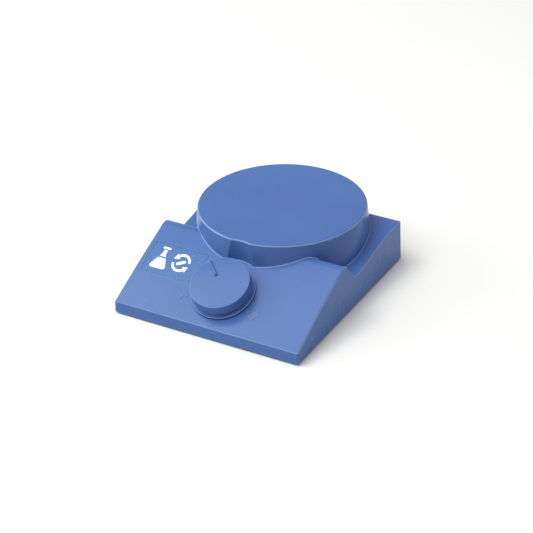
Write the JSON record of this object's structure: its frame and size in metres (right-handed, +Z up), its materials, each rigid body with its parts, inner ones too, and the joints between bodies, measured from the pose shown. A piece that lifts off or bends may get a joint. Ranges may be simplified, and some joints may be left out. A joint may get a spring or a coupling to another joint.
{
  "type": "magnetic stirrer",
  "caption": "Compact magnetic stirrer: wedge-shaped case with a round set-up plate on a drum, a speed knob on the sloping front and a magnet wheel driven by a motor inside.",
  "frame": {"origin": "centre of the footprint, on the surface that the rubber feet stand on", "axes": "+X to the right, +Y to the back, +Z up out of the set-up plate; the control slope faces -Y"},
  "size_m": [0.12, 0.1468, 0.0416],
  "materials": {
    "case_plastic": "satin moulded blue",
    "knob_plastic": "satin moulded blue",
    "label_film": "printed film",
    "rating_film": "blank foil",
    "foot_rubber": "matt",
    "steel": "zinc plated",
    "bright_steel": "ground",
    "core_steel": "stacked sheet",
    "copper": "enamelled wire",
    "bronze": "sintered",
    "brass": "plain",
    "magnet": "sintered",
    "dark_plastic": "moulded",
    "white_plastic": "moulded",
    "board": "glass-fibre board",
    "aluminium_can": "sleeved can",
    "graphite": "pressed carbon",
    "lead_red": "wire sleeve",
    "lead_black": "wire sleeve"
  },
  "bodies": {
    "housing": {"upper_housing": "case_plastic", "base_plate": "case_plastic", "label_strip": "label_film", "rating_label": "rating_film", "foot_front_left": "foot_rubber", "foot_front_right": "foot_rubber", "foot_rear_left": "foot_rubber", "foot_rear_right": "foot_rubber", "case_screws": "steel", "pot_bushing": "brass", "pot_body": "dark_plastic", "pot_terminals": "bright_steel", "pot_washer": "steel", "pot_nut": "steel", "control_board": "board", "board_screws": "steel", "capacitor": "aluminium_can", "power_transistor": "dark_plastic", "control_chip": "dark_plastic", "resistors": "dark_plastic", "diode": "dark_plastic", "motor_connector": "white_plastic", "power_connector": "white_plastic", "motor_bracket": "steel", "bracket_screws": "steel", "motor_screws": "steel", "motor_can": "steel", "motor_end_cap": "white_plastic", "upper_bush": "bronze", "lower_bush": "bronze", "field_magnets": "magnet", "brushes": "graphite", "brush_springs": "bronze", "motor_terminals": "brass", "dc_socket": "dark_plastic", "socket_pin": "bright_steel", "socket_nut": "steel", "socket_terminals": "brass", "motor_lead_red": "lead_red", "motor_lead_black": "lead_black", "power_lead_red": "lead_red", "power_lead_black": "lead_black"},
    "knob": {"speed_knob": "knob_plastic", "dial_shaft": "bright_steel", "wiper_disc": "white_plastic"},
    "rotor": {"motor_shaft": "bright_steel", "armature_core": "core_steel", "windings": "copper", "commutator_segments": "copper", "commutator_sleeve": "dark_plastic", "magnet_carrier": "white_plastic", "grub_screw": "core_steel", "yoke_plate": "steel", "drive_magnets": "magnet"}
  },
  "joints": [
    {"name": "speed_dial", "type": "hinge", "parent": "housing", "child": "knob", "pos_m": [0, -0.05074, 0.01872], "axis": [0, 0.4202, -0.9074], "range_deg": [-66, 160]},
    {"name": "rotor_spin", "type": "hinge", "parent": "housing", "child": "rotor", "pos_m": [0, 0.01913, 0.02], "axis": [0, 0, 1], "continuous": true}
  ]
}
